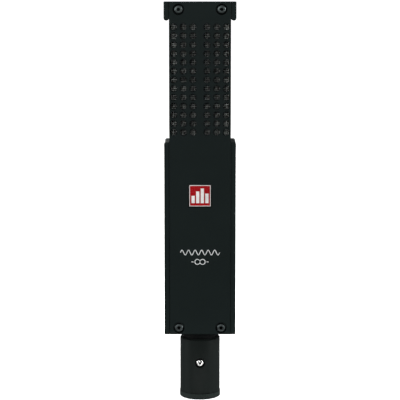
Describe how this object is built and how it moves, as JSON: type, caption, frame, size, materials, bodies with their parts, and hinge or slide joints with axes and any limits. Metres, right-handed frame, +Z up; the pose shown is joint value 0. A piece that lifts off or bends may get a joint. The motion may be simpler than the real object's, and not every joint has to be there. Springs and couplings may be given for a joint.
{
  "type": "ribbon microphone",
  "caption": "Slim rectangular ribbon microphone with perforated cover plates over a corrugated ribbon, and a round barrel with a three-pole connector.",
  "frame": {"origin": "centre of the connector barrel's mouth, at the microphone's lowest point", "axes": "+Z up along the body, front cover faces -Y, +X to the right as seen from the front"},
  "size_m": [0.043, 0.0273, 0.2411],
  "materials": {
    "black_body": "fine matte black finish",
    "black_barrel": "satin black finish",
    "collar": "dark matte",
    "dark_screw": "blackened steel",
    "bright_screw": "bright steel",
    "badge": "glossy enamel",
    "gauze": "woven wire cloth",
    "insulator": "black moulded",
    "contact": "gold plated",
    "ribbon": "corrugated foil",
    "magnet": "nickel plated",
    "yoke": "zinc plated iron",
    "motor_plate": "milled",
    "isolator": "soft black",
    "clamp_bar": "machined",
    "board": "green solder mask",
    "can": "annealed alloy",
    "core": "wound strip",
    "winding": "enamelled copper wire",
    "capacitor": "sleeved",
    "film": "box",
    "transistor": "moulded",
    "resistor": "lacquered",
    "wire": "insulated wire"
  },
  "bodies": {
    "microphone": {"frame": "black_body", "front_plate": "black_body", "rear_plate": "black_body", "barrel": "black_barrel", "neck_collar": "collar", "front_plate_screws": "dark_screw", "rear_plate_screws": "dark_screw", "lock_screw": "bright_screw", "barrel_screws": "bright_screw", "yoke_screws": "bright_screw", "motor_screws": "bright_screw", "clamp_screws": "bright_screw", "board_screws": "bright_screw", "transformer_bolt": "bright_screw", "transformer_nut": "bright_screw", "badge": "badge", "front_gauze": "gauze", "rear_gauze": "gauze", "connector_insert": "insulator", "lower_clamp_base": "insulator", "upper_clamp_base": "insulator", "contact_pins": "contact", "left_magnet": "magnet", "right_magnet": "magnet", "yoke": "yoke", "motor_plate": "motor_plate", "isolators": "isolator", "cable_grommet": "isolator", "clamp_bars": "clamp_bar", "circuit_board": "board", "transformer_can": "can", "transformer_core": "core", "transformer_winding": "winding", "electrolytic_capacitors": "capacitor", "film_capacitors": "film", "transistors": "transistor", "resistors": "resistor", "ribbon_leads": "wire", "output_wires": "wire"},
    "ribbon": {"ribbon": "ribbon"}
  },
  "joints": [
    {"name": "ribbon_travel", "type": "slide", "parent": "microphone", "child": "ribbon", "axis": [0, -1, 0], "range_m": [-0.0003, 0.0003], "stiffness_N_per_m": 2, "deforming": ["ribbon"]}
  ]
}
